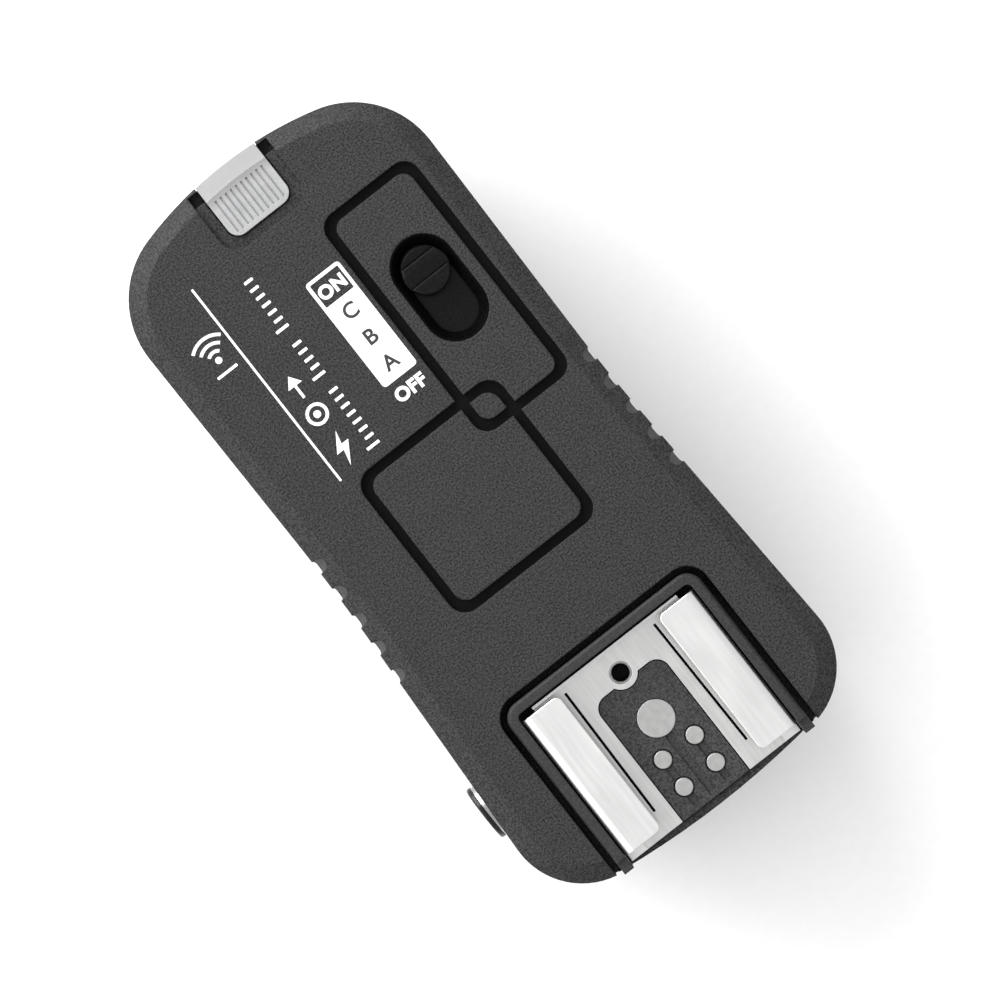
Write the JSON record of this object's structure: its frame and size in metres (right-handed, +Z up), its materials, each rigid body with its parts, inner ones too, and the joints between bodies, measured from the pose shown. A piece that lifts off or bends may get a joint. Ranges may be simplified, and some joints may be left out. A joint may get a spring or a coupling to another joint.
{
  "type": "wireless flash trigger receiver",
  "caption": "Radio receiver for a camera flash: long grey case with a hot shoe and slide switch on top, a status window, a sync socket, a sliding battery door and a clamping shoe foot.",
  "frame": {"origin": "on the axis of the 1/4 inch tripod thread at the foot's underside, straight below the centre contact of the hot shoe", "axes": "+Z up out of the hot shoe, +X across the case towards the slide switch, +Y along the case towards the status window"},
  "size_m": [0.0395, 0.0823, 0.0309],
  "materials": {
    "cover_plastic": "fine matte grain",
    "shell_plastic": "fine matte grain",
    "door_plastic": "fine matte grain",
    "bezel_plastic": "satin",
    "block_plastic": "satin",
    "rim_plastic": "semi gloss",
    "knob_plastic": "gloss",
    "shoe_metal": "satin nickel",
    "spring_metal": "satin",
    "pad_metal": "satin",
    "collar_metal": "bright",
    "screw_steel": "zinc plated",
    "black_screw": "black oxide",
    "insert_brass": "machined",
    "ring_plastic": "satin",
    "foot_plastic": "satin",
    "lens_plastic": "translucent",
    "led_resin": "clear",
    "cell_wrap": "gloss",
    "contact_steel": "nickel plated",
    "board_laminate": "solder mask",
    "module_laminate": "solder mask",
    "tin_plate": "tin plated",
    "antenna_wire": "copper wire",
    "chip_plastic": "moulded",
    "capacitor_can": "satin"
  },
  "bodies": {
    "case": {"top_cover": "cover_plastic", "bottom_shell": "shell_plastic", "battery_cells": "cell_wrap", "battery_springs": "contact_steel", "series_plate": "contact_steel", "supply_plates": "contact_steel", "main_board": "board_laminate", "radio_module": "module_laminate", "radio_shield": "tin_plate", "antenna": "antenna_wire", "board_chips": "chip_plastic", "board_crystal": "tin_plate", "board_capacitors": "capacitor_can", "board_screws": "screw_steel", "status_leds": "led_resin", "status_lens": "lens_plastic", "switch_escutcheon": "rim_plastic", "switch_housing": "tin_plate", "switch_terminals": "tin_plate", "hot_shoe": "shoe_metal", "shoe_spring": "spring_metal", "shoe_screws": "screw_steel", "contact_block": "block_plastic", "centre_contact": "pad_metal", "small_contacts": "pad_metal", "shoe_bezel": "bezel_plastic", "sync_jack": "chip_plastic", "jack_collar": "collar_metal", "jack_terminals": "tin_plate", "case_screws": "black_screw", "shoe_foot": "foot_plastic", "foot_screws": "screw_steel", "tripod_insert": "insert_brass"},
    "switch_slider": {"switch_knob": "knob_plastic", "switch_actuator": "chip_plastic"},
    "door": {"battery_door": "door_plastic"},
    "clamp_washer": {"pressure_washer": "spring_metal"},
    "clamp_ring": {"lock_ring": "ring_plastic"}
  },
  "joints": [
    {"name": "switch_slide", "type": "slide", "parent": "case", "child": "switch_slider", "axis": [0, -1, 0], "range_m": [0, 0.0044]},
    {"name": "door_slide", "type": "slide", "parent": "case", "child": "door", "axis": [0, 1, 0], "range_m": [0, 0.052]},
    {"name": "washer_slide", "type": "slide", "parent": "case", "child": "clamp_washer", "axis": [0, 0, -1], "range_m": [0, 0.001]},
    {"name": "ring_turn", "type": "hinge", "parent": "clamp_washer", "child": "clamp_ring", "pos_m": [0, 0, 0.0067], "axis": [0, 0, -1], "range_deg": [0, 360]}
  ],
  "couplings": [
    {"joint": "ring_turn", "follows": "washer_slide", "rad_per_m": 6283.2}
  ]
}
